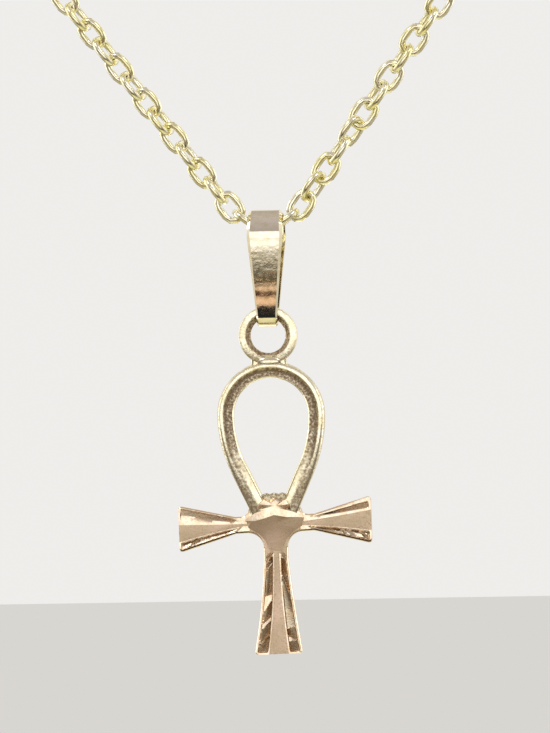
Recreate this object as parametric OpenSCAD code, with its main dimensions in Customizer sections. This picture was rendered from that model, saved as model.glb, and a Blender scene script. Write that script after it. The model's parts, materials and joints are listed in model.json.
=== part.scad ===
// Ankh pendant on a folded bail, hung on a fine cable chain that is held up at the nape.
// Millimetres, +Z up, front towards -Y, origin at the middle of the clasp.
// Every piece is drawn in a face view, with X to the right, Y up and Z towards the viewer,
// and stand() turns that view upright.

/* [Chain] */
// Length of the closed necklace along its centre line, clasp included
chain_length = 406; // [380:1:430]
// Outer length of one oval link
link_length = 2.84; // [2.7:0.01:3]
// Outer width of one oval link
link_width = 2.03; // [1.9:0.01:2.2]
// Diameter of the link wire
link_wire = 0.5; // [0.42:0.01:0.54]
// Clear gap between two wires that hook into each other
link_gap = 0.1; // [0.1:0.01:0.14]
// Rise of each side of the necklace from the horizontal, in degrees
side_angle = 53.5; // [48:0.5:60]
// Rise of the first link on each side of the bail, in degrees
apex_angle = 36; // [30:1:42]

/* [Clasp] */
// Outer diameter of the bolt ring
bolt_ring_d = 6; // [5.6:0.1:7]
// Tube diameter of the bolt ring
bolt_tube = 1.2; // [1:0.05:1.4]
// Outer diameter of the eyelet soldered to the bolt ring
eyelet_d = 2.2; // [2.1:0.05:2.6]
// Wire diameter of the eyelet
eyelet_wire = 0.5; // [0.4:0.01:0.55]
// Depth that the eyelet's wire is let into the bolt ring
eyelet_sink = 0.3; // [0.2:0.01:0.4]
// Length of the thumb nub above the bolt ring's tube
nub_length = 0.8; // [0.5:0.05:1.2]
// Diameter of the thumb nub
nub_d = 0.6; // [0.4:0.05:0.8]
// Place of the thumb nub round the bolt ring, in degrees from the right
nub_angle = 125; // [100:1:150]
// Outer diameter of the plain end ring that the bolt ring clips to
end_ring_d = 3.6; // [3.5:0.1:4.5]
// Wire diameter of the end ring
end_ring_wire = 0.6; // [0.5:0.05:0.7]

/* [Bail] */
// Thickness of the folded strip
strip_t = 0.3; // [0.25:0.01:0.36]
// Inner radius of the fold that the chain runs through
arch_r = 1.7; // [1.6:0.01:2.2]
// Least gap between the chain's links and the fold
link_clearance = 0.1; // [0.05:0.01:0.15]
// Least gap between the strip's corners and the hole of the ankh's ring
ring_clearance = 0.07; // [0.05:0.01:0.09]
// Distance from the arch centre down to the bend centre
bail_drop = 6; // [5.4:0.05:7.2]
// Strip width at the top of the fold
bail_top_w = 2.6; // [2.4:0.01:2.8]
// Strip width at the shoulder, the widest place
shoulder_w = 2.82; // [2.6:0.01:2.9]
// Depth of the shoulder below the arch centre
shoulder_drop = 0.1; // [0:0.05:0.6]
// Strip width level with the bend centre
bend_w = 1.64; // [1.6:0.01:1.7]
// Strip width at the very bottom
bail_bottom_w = 1.57; // [1.3:0.01:1.6]

/* [Ring and loop] */
// Outer diameter of the ring at the top of the ankh
ring_d = 4.62; // [4.6:0.01:4.9]
// Hole diameter of that ring
ring_hole_d = 2.74; // [2.72:0.01:2.9]
// Depth of the ring's wire from back to front
ring_t = 1; // [0.8:0.01:1.04]
// Width of the neck between ring and loop
neck_w = 2.94; // [2.4:0.01:3.1]
// Depth of the neck from back to front
neck_t = 0.84; // [0.7:0.01:0.95]
// Distance from the ring centre down to the loop centre
loop_drop = 6.24; // [6.1:0.01:6.3]
// Outer diameter of the loop's round top
loop_d = 8.46; // [8.3:0.01:8.6]
// Width of the loop's band
band_w = 1.32; // [1.2:0.01:1.38]
// Width of the loop's straight legs, which are a little stouter than the band
leg_w = 1.42; // [1.4:0.01:1.5]
// Turn of each flank from upright, in degrees
leg_angle = 24.7; // [23:0.1:26]
// Radius of each flank along the middle of the band
flank_r = 9.8; // [9:0.1:11]

/* [Limbs] */
// Distance from the ring centre down to the hub, where the limbs cross
hub_drop = 14.76; // [14.5:0.01:15]
// Reach of each arm from the hub
arm_reach = 7.55; // [6.5:0.05:8.5]
// Width of an arm's flared end
arm_end_w = 3.56; // [3.2:0.01:4]
// Width of an arm at its waist
arm_waist_w = 1.36; // [1.2:0.01:1.5]
// Distance of an arm's waist from the hub
arm_waist_at = 3.1; // [2.8:0.05:3.4]
// Reach of the stem from the hub to the foot
stem_reach = 10.2; // [9:0.1:12]
// Width of the foot
foot_w = 3.6; // [3.2:0.01:4]
// Width of the stem at its waist
stem_waist_w = 1.86; // [1.7:0.01:2]
// Distance of the stem's waist from the hub
stem_waist_at = 2.8; // [2.5:0.05:3.2]
// Radius of the limbs' outer corners
corner_r = 0.4; // [0.3:0.01:0.5]
// Radius of the curve along each side of the stem's waist
stem_curve_r = 5.6; // [4:0.1:7]
// Radius of the curve along the underside of an arm's waist
arm_under_r = 3.1; // [2:0.1:4]
// Radius of the curve along the top of an arm's waist
arm_top_r = 1.55; // [1:0.05:2.5]
// Radius of the inner corners between arms and stem
crotch_r = 1.2; // [1:0.05:1.3]
// Radius of the inner corners between arms and loop
armpit_r = 0.55; // [0.4:0.01:0.65]
// Height of the web between the loop's legs, above the hub
web_rise = 2.4; // [2.2:0.01:2.5]
// Turn of the ankh in its ring, as it hangs, in degrees
tilt = 1.2; // [0:0.1:3]

/* [Relief] */
// Height of the flat back behind the middle of the wire
back = 0.5; // [0.45:0.01:0.55]
// Height of the loop's crown in front of the middle of the wire
crown = 0.6; // [0.55:0.01:0.65]
// Height that the legs' crown stands above the band's
leg_rise = 0.03; // [0.02:0.01:0.06]
// Fall of the loop's crown towards the band's edges
crown_fall = 0.35; // [0.25:0.01:0.4]
// Height of the limbs' panels and rims in front of the middle of the wire
panel_h = 0.42; // [0.38:0.01:0.48]
// Depth of the strips that are cut beside each panel
strip_cut = 0.2; // [0.12:0.01:0.26]
// Width of the rim left outside each cut strip
rim_w = 0.16; // [0.12:0.01:0.2]
// Width of a panel next to the hub
panel_hub_w = 0.44; // [0.36:0.01:0.5]
// Width of an arm's panel at the flared end
arm_panel_w = 1.8; // [1.5:0.01:2]
// Width of the stem's panel at the foot
stem_panel_w = 1.4; // [1.2:0.01:1.8]
// Height of the hub's boss in front of the middle of the wire
boss_h = 0.74; // [0.7:0.01:0.85]
// Width of the hub's boss at its foot
boss_w = 4.6; // [4.2:0.01:4.8]
// Height of the boss's peak above the hub, in the face view
boss_peak = 0.92; // [0.85:0.01:1]
// Slope width of the boss's edges
boss_slope = 0.3; // [0.2:0.01:0.35]
// Distance between two slanting ribs in the stem's strips
rib_pitch = 1.02; // [0.9:0.01:1.2]
// Width of a slanting rib
rib_w = 0.2; // [0.15:0.01:0.26]
// Slant of the ribs from the horizontal, in degrees
rib_angle = 52; // [45:1:60]

/* [Hidden] */

// Smoothness of round surfaces
round_fn = 48;
wire_fn = 24;
// Straight steps in a rounded corner and in a crown
corner_steps = 5;
crown_steps = 8;
// Extra height of a cutting solid past the face that it opens
cut_past = 0.2;
// Length of a leg over its flank's end
leg_lap = 0.1;

gold = [0.86, 0.68, 0.38];
rose_gold = [0.80, 0.58, 0.42];

// Chain: two hooked wires meet at a joint, the middle of the gap between them
link_inner_l = link_length - 2 * link_wire;
pitch = link_inner_l - link_gap;
link_end_r = (link_width - link_wire) / 2;
link_straight = link_length - link_width;
// Distance from the centre of a link's round end to its joint, and to the wire hooked there
joint_r = link_end_r - (link_wire + link_gap) / 2;
hooked_r = link_end_r - link_wire - link_gap;

// Clasp, from the left chain's joint to the right chain's joint
bolt_mid_r = (bolt_ring_d - bolt_tube) / 2;
bolt_in_r = bolt_ring_d / 2 - bolt_tube;
eyelet_in_r = eyelet_d / 2 - eyelet_wire;
eyelet_at = (bolt_ring_d + eyelet_d) / 2 - eyelet_sink;
end_ring_in_d = end_ring_d - 2 * end_ring_wire;
bolt_span = bolt_in_r + eyelet_at + eyelet_in_r - link_gap;
end_ring_span = end_ring_in_d - link_gap;
clasp_half = (bolt_span + end_ring_span) / 2;
eyelet_x = -clasp_half - link_gap / 2 + eyelet_in_r;
bolt_x = eyelet_x + eyelet_at;
end_ring_x = clasp_half + link_gap / 2 - end_ring_in_d / 2;

// The link across the arch sits as high as the second link's edges allow inside the fold
edge_h = sqrt(pow(arch_r - link_clearance - link_wire / 2, 2) - pow(link_end_r, 2));
edge_rise = hooked_r * sin(apex_angle)
    + (shoulder_w / 2 - link_straight / 2 - hooked_r * cos(apex_angle)) * tan(apex_angle);
link_lift = edge_h - edge_rise;

// Route of the right half, from the middle of the bail's arch up to the clasp: half a link
// across, one link at apex_angle, one that turns to side_angle, a straight side and a round arc
apex_links = 2.5;
side_links = round((chain_length / 2 - clasp_half) / pitch - apex_links);
apex_dir = [cos(apex_angle), sin(apex_angle)];
side_dir = [cos(side_angle), sin(side_angle)];
first_joint = [link_straight / 2, link_lift] + joint_r * apex_dir;
second_joint = first_joint + pitch * apex_dir;
turned_link = second_joint + joint_r * apex_dir + link_straight / 2 * side_dir;
side_start = turned_link + pitch / 2 * side_dir;
side_turn = (180 - side_angle) * PI / 180;
side_length = side_links * pitch;
arc_r = (side_start.x + side_length * side_dir.x - clasp_half) / (side_turn * side_dir.x + side_dir.y);
straight = side_length - arc_r * side_turn;
arc_centre = side_start + straight * side_dir + arc_r * [-side_dir.y, side_dir.x];
arch_drop = arc_centre.y + arc_r;
last_link = side_links + floor(apex_links);
// The last link lies flat in the face view where this is 0, and on edge where it is 90
last_roll = 90 * (last_link % 2);

// Bail
arch_out_r = arch_r + strip_t;
ring_wire_w = (ring_d - ring_hole_d) / 2;
ring_mid_r = (ring_d + ring_hole_d) / 4;
// Half the depth of the ring's hole wall, before its wire's crowns begin
ring_edge_h = ring_t / 4;
// The bend lies as near the ring's wire as the strip's corners can in the ring's hole
corner_drop = ring_mid_r - sqrt(pow(ring_hole_d / 2 - ring_clearance, 2) - pow(bend_w / 2, 2));
bend_r = norm([corner_drop, ring_edge_h]);
bend_out_r = bend_r + strip_t;

// Ankh, with its ring's upper wire centred on the bail's lower bend
ring_drop = bail_drop + ring_mid_r;
band_mid_r = (loop_d - band_w) / 2;
flank_x = band_mid_r - flank_r;
leg_x = flank_x + flank_r * cos(leg_angle);
leg_y = -flank_r * sin(leg_angle);
hub_y = loop_drop - hub_drop;
// Share of the web's rise that its outer sides reach, under the legs
web_share = 0.75;
floor_h = panel_h - strip_cut;

function joint(k) =
    let (t = k * pitch, h = side_angle + (t - straight) / arc_r * 180 / PI)
    t <= straight ? side_start + t * side_dir : arc_centre + arc_r * [sin(h), -cos(h)];

// Ends of link number i of the right half; link 0 lies across the bail's arch
function link_ends(i) =
    i == 0 ? [[-pitch / 2, link_lift], [pitch / 2, link_lift]]
    : i == 1 ? [first_joint, second_joint]
    : i == 2 ? [turned_link - pitch / 2 * side_dir, side_start]
    : [joint(i - 3), joint(i - 2)];

function unit(v) = v / norm(v);

// Points of the arc of radius r that rounds the corner at b between a and c
function corner(a, b, c, r) =
    let (
        u = unit(a - b), v = unit(c - b), half = acos(u * v) / 2,
        centre = b + unit(u + v) * r / sin(half),
        from = b + u * r / tan(half) - centre, to = b + v * r / tan(half) - centre,
        start = atan2(from.y, from.x), raw = atan2(to.y, to.x) - start,
        turn = raw > 180 ? raw - 360 : raw < -180 ? raw + 360 : raw
    )
    [for (i = [0:corner_steps]) let (g = start + turn * i / corner_steps) centre + r * [cos(g), sin(g)]];

// A closed outline from rows of x, y and corner radius, where 0 keeps the corner sharp
function rounded(rows) =
    let (n = len(rows))
    [for (i = [0:n - 1])
        let (p = rows[i], a = rows[(i + n - 1) % n], c = rows[(i + 1) % n])
        each p[2] == 0 ? [[p.x, p.y]] : corner([a.x, a.y], [p.x, p.y], [c.x, c.y], p[2])];

function mirrored(rows) = [for (i = [len(rows) - 1:-1:0]) [-rows[i].x, rows[i].y, rows[i][2]]];

// Crowned front of a band of width w, from its right edge over the height h to its left edge
function crown_arc(w, h, fall) =
    let (r = (w * w / 4 + fall * fall) / (2 * fall), half = asin(w / 2 / r))
    [for (i = [0:crown_steps]) let (g = half - 2 * half * i / crown_steps) [r * sin(g), h - r + r * cos(g)]];

// Section across the loop's band: crowned front, upright sides and a flat back with eased edges
function band_section(w, h) =
    let (half = w / 2, ease = crown_fall / 2)
    concat(crown_arc(w, h, crown_fall),
        [[-half, ease - back], [ease - half, -back], [half - ease, -back], [half, ease - back]]);

// Section across the ring's wire, crowned in front and behind
function ring_section() =
    let (front = crown_arc(ring_wire_w, ring_t / 2, ring_t / 2 - ring_edge_h))
    concat(front, [for (p = front) -p]);

module stand() rotate([90, 0, 0]) children();

// Moves children from the middle of the bail's arch to their height below the origin
module at_arch() translate([0, -arch_drop, 0]) children();

module hoop(mid_r, wire) rotate_extrude($fn = round_fn) translate([mid_r, 0])
    circle(d = wire, $fn = wire_fn);

module link() {
    for (side = [0, 180]) rotate([0, 0, side]) {
        translate([link_straight / 2, 0, 0]) rotate([0, 0, -90])
            rotate_extrude(angle = 180, $fn = round_fn) translate([link_end_r, 0])
                circle(d = link_wire, $fn = wire_fn);
        translate([-link_straight / 2, link_end_r, 0]) rotate([0, 90, 0])
            cylinder(d = link_wire, h = link_straight, $fn = wire_fn);
    }
}

// Links first to last of the right half, every other one turned on edge
module links(first) {
    for (i = [first:last_link]) {
        ends = link_ends(i);
        along = ends[1] - ends[0];
        translate(concat((ends[0] + ends[1]) / 2, 0)) rotate([0, 0, atan2(along.y, along.x)])
            rotate([i % 2 * 90, 0, 0]) link();
    }
}

module chain_right() color(gold) stand() at_arch() links(0);

module chain_left() color(gold) stand() at_arch() mirror([1, 0, 0]) links(1);

module bolt_ring_clasp() color(gold) stand() rotate([last_roll, 0, 0]) {
    translate([bolt_x, 0, 0]) {
        hoop(bolt_mid_r, bolt_tube);
        rotate([0, 0, nub_angle]) translate([bolt_mid_r, 0, 0]) rotate([0, 90, 0])
            cylinder(d = nub_d, h = bolt_tube / 2 + nub_length, $fn = wire_fn);
    }
    translate([eyelet_x, 0, 0]) rotate([90, 0, 0]) hoop((eyelet_d - eyelet_wire) / 2, eyelet_wire);
}

module end_ring() color(gold) stand() rotate([last_roll, 0, 0]) translate([end_ring_x, 0, 0])
    rotate([90, 0, 0]) hoop((end_ring_d - end_ring_wire) / 2, end_ring_wire);

// Side view of the fold as a solid: two cylinders and the flat sides that touch both
module fold(top_r, low_r, width) {
    lean = asin((top_r - low_r) / bail_drop);
    touch = [cos(lean), -sin(lean)];
    top = top_r * touch;
    low = low_r * touch - [0, bail_drop];
    cylinder(r = top_r, h = width, center = true, $fn = round_fn);
    translate([0, -bail_drop, 0]) cylinder(r = low_r, h = width, center = true, $fn = round_fn);
    linear_extrude(width, center = true) polygon([top, low, [-low.x, low.y], [-top.x, top.y]]);
}

module bail() color(rose_gold) stand() at_arch() intersection() {
    rotate([0, 90, 0]) difference() {
        fold(arch_out_r, bend_out_r, shoulder_w + cut_past);
        fold(arch_r, bend_r, shoulder_w + 2 * cut_past);
    }
    linear_extrude(2 * arch_out_r + cut_past, center = true) polygon([
        [bail_top_w / 2, arch_out_r], [shoulder_w / 2, -shoulder_drop], [bend_w / 2, -bail_drop],
        [bail_bottom_w / 2, -bail_drop - bend_out_r], [-bail_bottom_w / 2, -bail_drop - bend_out_r],
        [-bend_w / 2, -bail_drop], [-shoulder_w / 2, -shoulder_drop], [-bail_top_w / 2, arch_out_r]
    ]);
}

module ring() rotate_extrude($fn = round_fn) translate([ring_mid_r, 0]) polygon(ring_section());

// Filler between the ring and the loop, waisted at neck_w
module neck() {
    waist_y = -(loop_drop - loop_d / 2 + ring_mid_r) / 2;
    top_y = waist_y + ring_wire_w / 3;
    low_y = waist_y - ring_wire_w / 2;
    flare = neck_w / 2 + ring_wire_w / 5;
    translate([0, 0, -neck_t / 2]) linear_extrude(neck_t) polygon([
        [flare, top_y], [neck_w / 2, waist_y], [flare, low_y],
        [-flare, low_y], [-neck_w / 2, waist_y], [-flare, top_y]
    ]);
}

// Loop round its own centre: a half circle, two flanks of flank_r and two straight legs, let over
// the flanks' ends, down to the hub
module loop() {
    section = band_section(band_w, crown);
    leg_length = (leg_y - hub_y - arm_waist_w / 2) / cos(leg_angle);
    rotate_extrude(angle = 180, $fn = round_fn) translate([band_mid_r, 0]) polygon(section);
    for (side = [0, 1]) mirror([side, 0, 0]) translate([flank_x, 0, 0]) {
        mirror([0, 1, 0]) rotate_extrude(angle = leg_angle, $fn = round_fn)
            translate([flank_r, 0]) polygon(section);
        rotate([0, 0, -leg_angle]) translate([flank_r, leg_lap, 0]) rotate([90, 0, 0])
            linear_extrude(leg_lap + leg_length) polygon(band_section(leg_w, crown + leg_rise));
    }
}

// Right half of the limbs' outline round the hub, from the foot up to the web
function limb_rows() =
    let (
        leg_out = leg_x + leg_w / 2 / cos(leg_angle),
        leg_side = function (y) leg_out - (leg_y - hub_y - y) * tan(leg_angle),
        pit_y = arm_waist_w / 2,
        web_low = web_share * web_rise
    )
    [
        [foot_w / 2, -stem_reach, corner_r],
        [stem_waist_w / 2, -stem_waist_at, stem_curve_r],
        [stem_waist_w / 2, -arm_waist_w / 2, crotch_r],
        [arm_waist_at, -arm_waist_w / 2, arm_under_r],
        [arm_reach, -arm_end_w / 2, corner_r],
        [arm_reach, arm_end_w / 2, corner_r],
        [arm_waist_at, arm_waist_w / 2, arm_top_r],
        [leg_side(pit_y), pit_y, armpit_r],
        [leg_side(web_low), web_low, 0],
        [leg_side(web_rise) - leg_w / 2, web_rise, 0]
    ];

// The strip cut between a limb's panel and its rim, with the limb along +X and the strip above it
module cut_strip(start, waist_at, waist_w, reach, end_w, hub_panel, end_panel) {
    far = reach - rim_w;
    linear_extrude(strip_cut + cut_past) polygon(rounded([
        [start, hub_panel / 2, 0], [far, end_panel / 2, 0], [far, end_w / 2 - rim_w, corner_r - rim_w],
        [waist_at, waist_w / 2 - rim_w, 0], [start, waist_w / 2 - rim_w, 0]
    ]));
}

// Both strips of the stem, with slanting ribs left standing in them
module stem_strips() {
    for (side = [0, 1]) mirror([side, 0, 0]) difference() {
        rotate([0, 0, -90]) cut_strip(crotch_r + arm_waist_w / 2, stem_waist_at, stem_waist_w, stem_reach,
            foot_w, panel_hub_w, stem_panel_w);
        for (d = [stem_waist_at:rib_pitch:stem_reach - rib_pitch / 2])
            translate([stem_waist_w / 2, -d, strip_cut / 2]) rotate([0, 0, -rib_angle])
                cube([foot_w, rib_w, strip_cut], center = true);
    }
}

// Raised plate on the crossing, hexagonal with a peak, and sloping edges
module boss() {
    half_w = boss_w / 2;
    brow_x = boss_w / 4;
    half_h = arm_waist_w / 2;
    end_h = arm_waist_w / 4;
    low_x = stem_waist_w / 2;
    low_y = -half_h - boss_slope;
    foot = [[half_w, -end_h], [half_w, end_h], [brow_x, half_h], [0, boss_peak], [-brow_x, half_h],
        [-half_w, end_h], [-half_w, -end_h], [-low_x, low_y], [low_x, low_y]];
    hull() {
        linear_extrude(floor_h) polygon(foot);
        linear_extrude(boss_h) polygon([for (p = foot) p - boss_slope * unit(p)]);
    }
}

module limbs() {
    rows = limb_rows();
    arm_start = boss_w / 2;
    difference() {
        translate([0, 0, -back]) linear_extrude(back + panel_h)
            polygon(rounded(concat(rows, mirrored(rows))));
        translate([0, 0, floor_h]) {
            for (side = [0, 1], up = [0, 1]) mirror([side, 0, 0]) mirror([0, up, 0])
                cut_strip(arm_start, arm_waist_at, arm_waist_w, arm_reach, arm_end_w,
                    panel_hub_w, arm_panel_w);
            stem_strips();
        }
    }
    boss();
}

module ankh() color(rose_gold) stand() at_arch() translate([0, -ring_drop, 0]) rotate([0, 0, tilt]) {
    ring();
    neck();
    translate([0, -loop_drop, 0]) loop();
    translate([0, -hub_drop, 0]) limbs();
}

chain_left();
chain_right();
bolt_ring_clasp();
end_ring();
bail();
ankh();
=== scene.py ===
# Ankh pendant in a folded bail on a fine cable chain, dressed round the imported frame
import json
import math
import random
import bmesh
import bpy
from mathutils import Matrix, Vector


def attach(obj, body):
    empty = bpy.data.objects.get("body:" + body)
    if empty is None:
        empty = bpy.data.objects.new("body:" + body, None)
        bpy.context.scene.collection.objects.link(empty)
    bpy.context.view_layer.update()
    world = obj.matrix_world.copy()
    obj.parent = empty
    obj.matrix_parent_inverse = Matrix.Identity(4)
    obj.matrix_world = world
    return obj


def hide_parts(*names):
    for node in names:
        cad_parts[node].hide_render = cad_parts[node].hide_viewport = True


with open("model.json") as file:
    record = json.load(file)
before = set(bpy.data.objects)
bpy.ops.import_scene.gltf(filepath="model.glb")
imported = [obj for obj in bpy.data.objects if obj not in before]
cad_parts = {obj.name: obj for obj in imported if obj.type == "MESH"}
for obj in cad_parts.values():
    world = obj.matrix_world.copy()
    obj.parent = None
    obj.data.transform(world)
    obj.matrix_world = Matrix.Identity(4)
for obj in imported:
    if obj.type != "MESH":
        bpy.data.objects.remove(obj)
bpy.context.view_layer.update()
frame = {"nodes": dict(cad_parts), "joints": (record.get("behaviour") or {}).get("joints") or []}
joints = {joint["name"]: joint for joint in frame["joints"]}
mm = 0.001
weldGap = 0.0005  # vertices this near each other, in millimetres, become one

# Pieces are drawn in millimetres in a face view round the middle of the bail's arch, with x to the right,
# y up and z to the viewer, and are stood up at the end
archZ = joints["bail_swing"]["pos_m"][2]
faceToWorld = (Matrix.Translation((0, 0, archZ)) @ Matrix.Rotation(math.radians(90), 4, "X")
               @ Matrix.Scale(mm, 4))


# Working with objects

def activate(*pieces):
    bpy.ops.object.select_all(action="DESELECT")
    for piece in pieces:
        piece.select_set(True)
    bpy.context.view_layer.objects.active = pieces[0]


def startPiece(name):  # names the primitive that was just added and opens it in edit mode
    piece = bpy.context.object
    activate(piece)
    bpy.ops.object.transform_apply(location=True, rotation=True, scale=True)
    piece.name = name
    piece.data.name = name
    bpy.ops.object.mode_set(mode="EDIT")
    return piece


def pick(piece, test, kind="VERT"):  # selects the vertices or edges that pass the test
    bpy.ops.mesh.select_mode(type=kind)
    bpy.ops.mesh.select_all(action="DESELECT")
    mesh = bmesh.from_edit_mesh(piece.data)
    for item in {"VERT": mesh.verts, "EDGE": mesh.edges}[kind]:
        if test(item):
            item.select_set(True)
    mesh.select_flush_mode()
    bmesh.update_edit_mesh(piece.data)


def pickRim(piece, test=lambda vert: True):  # selects the open edges whose two ends pass the test
    pick(piece, lambda edge: edge.is_boundary and all(test(vert) for vert in edge.verts), "EDGE")


def extrudeBy(*move):
    bpy.ops.mesh.extrude_region_move(TRANSFORM_OT_translate={"value": move})


def closeShell(piece):  # merges doubles and turns all faces outwards
    bpy.ops.object.mode_set(mode="EDIT")
    bpy.ops.mesh.select_mode(type="VERT")
    bpy.ops.mesh.select_all(action="SELECT")
    bpy.ops.mesh.remove_doubles(threshold=weldGap)
    bpy.ops.mesh.normals_make_consistent(inside=False)
    bpy.ops.object.mode_set(mode="OBJECT")


def modify(piece, kind, **settings):  # adds a modifier and applies it
    activate(piece)
    modifier = piece.modifiers.new(kind.title(), kind)
    for key, value in settings.items():
        setattr(modifier, key, value)
    bpy.ops.object.modifier_apply(modifier=modifier.name)


def copyOf(piece, place):  # a copy with its own mesh
    copy = piece.copy()
    copy.data = piece.data.copy()
    bpy.context.collection.objects.link(copy)
    copy.matrix_world = place
    return copy


def joinPieces(name, pieces, angle):  # edges sharper than the angle stay crisp
    activate(*pieces)
    if len(pieces) > 1:
        bpy.ops.object.join()
    joined = bpy.context.object
    joined.name = name
    joined.data.name = name
    bpy.ops.object.transform_apply(location=True, rotation=True, scale=True)
    bpy.ops.object.shade_smooth_by_angle(angle=math.radians(angle))
    return joined


def standUp(piece, place=Matrix.Identity(4)):  # turns the face view upright, at the piece's own place in it
    piece.matrix_world = faceToWorld @ place
    activate(piece)
    bpy.ops.object.transform_apply(location=True, rotation=True, scale=True)


def finishPiece(piece, body, node):
    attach(piece, body)
    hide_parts(node)


def smoothStep(low, high, value):  # falls from 1 to 0 where low is over high
    share = min(max((value - low) / (high - low), 0), 1)
    return share * share * (3 - 2 * share)


def blend(low, high, share):
    return low + (high - low) * share


def readRows(rows, place):  # the value at a place, from rows of place and value whose places run down
    for (outer, high), (inner, low) in zip(rows, rows[1:]):
        if place >= inner:
            return blend(low, high, (place - inner) / (outer - inner))
    return rows[-1][1]


# Finishes

class Wire:  # a shader socket with plain sums on it
    def __init__(self, tree, socket=None):
        self.tree = tree
        self.socket = socket

    def add(self, kind, settings=None, inputs=None, output=0):
        node = self.tree.nodes.new(kind)
        for key, value in (settings or {}).items():
            if key == "stops":
                ramp = node.color_ramp.elements
                while len(ramp) < len(value):
                    ramp.new(1)
                for stop, (place, colour) in zip(ramp, value):
                    stop.position = place
                    stop.color = colour
            else:
                setattr(node, key, value)
        for key, value in (inputs or {}).items():
            if isinstance(value, Wire):
                self.tree.links.new(value.socket, node.inputs[key])
            else:
                node.inputs[key].default_value = value
        return Wire(self.tree, node.outputs[output] if len(node.outputs) else None)

    def maths(self, operation, other):
        return self.add("ShaderNodeMath", {"operation": operation}, {0: self, 1: other})

    def __add__(self, other):
        return self.maths("ADD", other)

    def __mul__(self, other):
        return self.maths("MULTIPLY", other)

    __radd__ = __add__
    __rmul__ = __mul__

    def between(self, low, high):  # 0 below low, 1 above high
        return self.add("ShaderNodeMapRange", {"interpolation_type": "SMOOTHSTEP"},
                        {"Value": self, "From Min": low, "From Max": high})

    def mix(self, first, second):  # the colour first where this is 0 and second where it is 1
        return self.add("ShaderNodeMix", {"data_type": "RGBA"}, {0: self, 6: first, 7: second}, output=2)

    def noise(self, scale, detail):
        return self.add("ShaderNodeTexNoise", {}, {"Vector": self, "Scale": scale, "Detail": detail})


commonLook = {  # what all finishes share: where clouds and grain begin and end, and how patina in hollows and painted shade look
    "cloudTone": (0.35, 0.65), "cloudRough": (0.3, 0.7), "speckTone": (0.5, 0.72), "speckRough": (0.4, 0.7),
    "patina": (0.33, 0.23, 0.15, 1), "darkGrain": (0.3, 0.7), "darkSpread": 0.7, "darkLeast": 0.5,
    "darkRough": 0.3,
}


def goldFinish(name, look):
    look = {**commonLook, **look}
    material = bpy.data.materials.new(name)
    material.use_nodes = True
    tree = material.node_tree
    shader = tree.nodes["Principled BSDF"]
    start = Wire(tree)
    place = start.add("ShaderNodeTexCoord", output=3)  # Object coordinates, then in millimetres
    mapped = start.add("ShaderNodeMapping", {}, {"Vector": place, "Scale": (1 / mm, 1 / mm, 1 / mm)})
    cloud = mapped.noise(look["cloudScale"], 3.0)
    grain = mapped.noise(look["grainScale"], 4.0)
    stretched = start.add("ShaderNodeMapping", {}, {"Vector": mapped, "Rotation": look["scratchTurn"],
                                                   "Scale": look["scratchStretch"]})
    scratch = stretched.noise(1.0, 2.0)
    tone = cloud.between(*look["cloudTone"]).mix((*look["pale"], 1), (*look["deep"], 1))
    tone = (grain.between(*look["speckTone"]) * look["specks"]).mix(tone, (*look["speck"], 1))
    rough = cloud.between(*look["cloudRough"]) * look["roughSpread"] + look["rough"]
    rough = rough + grain.between(*look["speckRough"]) * look["grainRough"]
    # the attribute read here darkens towards the patina colour: real patina in most places, painted shade on
    # the ring's inner slope and bottom
    darkening = start.add("ShaderNodeAttribute", {"attribute_name": "patina"}, output=2)
    darkening = darkening * (grain.between(*look["darkGrain"]) * look["darkSpread"] + look["darkLeast"])
    tone = darkening.mix(tone, look["patina"])
    rough = rough + darkening * look["darkRough"]
    height = grain * (darkening * look["darkHeight"] + look["grainHeight"]) + scratch * look["scratchHeight"]
    height = height + cloud * look["cloudHeight"]
    bump = start.add("ShaderNodeBump", {}, {"Strength": 1.0, "Distance": mm, "Height": height})
    tree.links.new(tone.socket, shader.inputs["Base Color"])
    tree.links.new(rough.socket, shader.inputs["Roughness"])
    tree.links.new(bump.socket, shader.inputs["Normal"])
    shader.inputs["Metallic"].default_value = 1.0
    return material


# Scales count per millimetre, and heights are in millimetres
chainGold = goldFinish("chainGold", {
    "pale": (1.0, 0.97, 0.81), "deep": (0.97, 0.90, 0.52), "cloudScale": 0.8, "cloudHeight": 0.0,
    "speck": (0.62, 0.52, 0.20), "specks": 0.2, "grainScale": 9.0, "grainRough": 0.06, "grainHeight": 0.0012,
    "rough": 0.19, "roughSpread": 0.06, "darkHeight": 0.0,
    "scratchTurn": (0.3, 0.5, 0.2), "scratchStretch": (2, 30, 30), "scratchHeight": 0.0008})
bailGold = goldFinish("bailGold", {
    "pale": (0.95, 0.88, 0.77), "deep": (0.88, 0.80, 0.62), "cloudScale": 1.6, "cloudHeight": 0.002,
    "speck": (0.80, 0.74, 0.42), "specks": 0.55, "grainScale": 3.0, "grainRough": 0.03, "grainHeight": 0.0015,
    "rough": 0.03, "roughSpread": 0.03, "darkHeight": 0.03,
    "scratchTurn": (0.0, 0.5, 0.0), "scratchStretch": (3, 3, 40), "scratchHeight": 0.0003})
castGold = goldFinish("castGold", {
    "pale": (0.98, 0.94, 0.76), "deep": (0.90, 0.82, 0.58), "cloudScale": 0.9, "cloudHeight": 0.008,
    "speck": (0.50, 0.38, 0.22), "specks": 0.3, "grainScale": 5.0, "grainRough": 0.10, "grainHeight": 0.006,
    "rough": 0.13, "roughSpread": 0.07, "darkHeight": 0.012,
    "scratchTurn": (0.0, 0.4, 0.3), "scratchStretch": (4, 12, 12), "scratchHeight": 0.004})
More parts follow.
